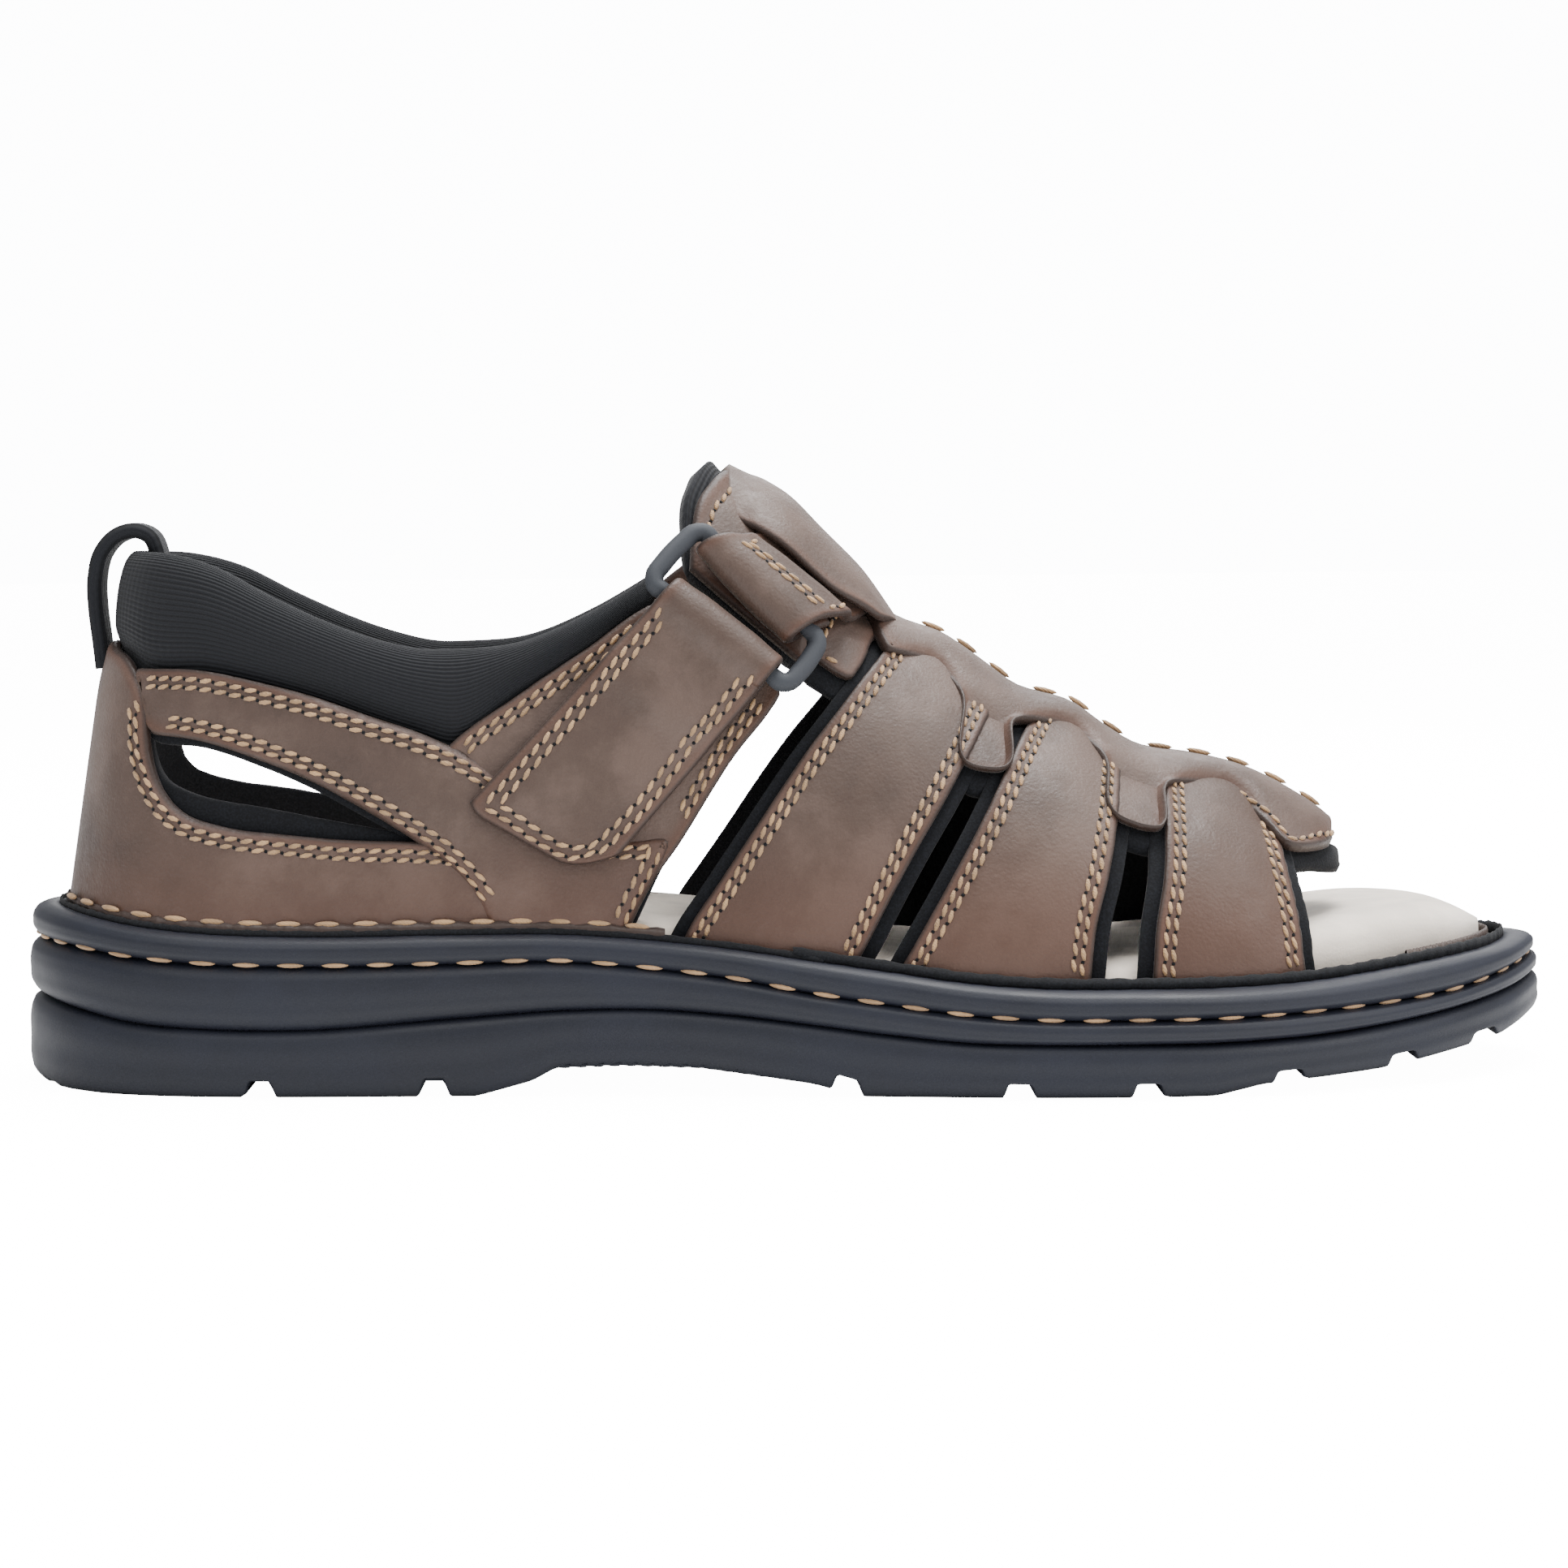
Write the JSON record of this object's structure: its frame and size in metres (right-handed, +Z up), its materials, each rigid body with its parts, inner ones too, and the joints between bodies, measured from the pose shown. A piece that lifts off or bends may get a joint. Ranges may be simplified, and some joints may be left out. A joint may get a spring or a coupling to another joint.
{
  "type": "fisherman sandal",
  "caption": "Closed-side leather fisherman sandal with crossing straps under a stitched spine, padded heel collar, ring and touch-fastener strap, and a lugged rubber unit sole.",
  "frame": {"origin": "on the floor under the centre of the bounding box, the sole standing on Z = 0", "axes": "+X towards the toe, -Y towards the outer side of this right shoe, +Z up"},
  "size_m": [0.3, 0.1033, 0.1198],
  "materials": {
    "sole_rubber": "matt slate blue rubber",
    "footbed_suede": "cream suede",
    "leather": "waxy brown pull-up leather",
    "knit": "black ribbed padded knit",
    "ring_plastic": "satin slate plastic",
    "webbing": "black woven tape"
  },
  "bodies": {
    "root": {"outsole": "sole_rubber", "midsole": "sole_rubber", "welt": "sole_rubber", "footbed": "footbed_suede", "upper": "leather", "tongue": "leather", "instep_strap": "leather", "closure_strap": "leather", "collar": "knit", "tongue_pad": "knit", "ring": "ring_plastic", "pull_loop": "webbing"}
  },
  "joints": []
}
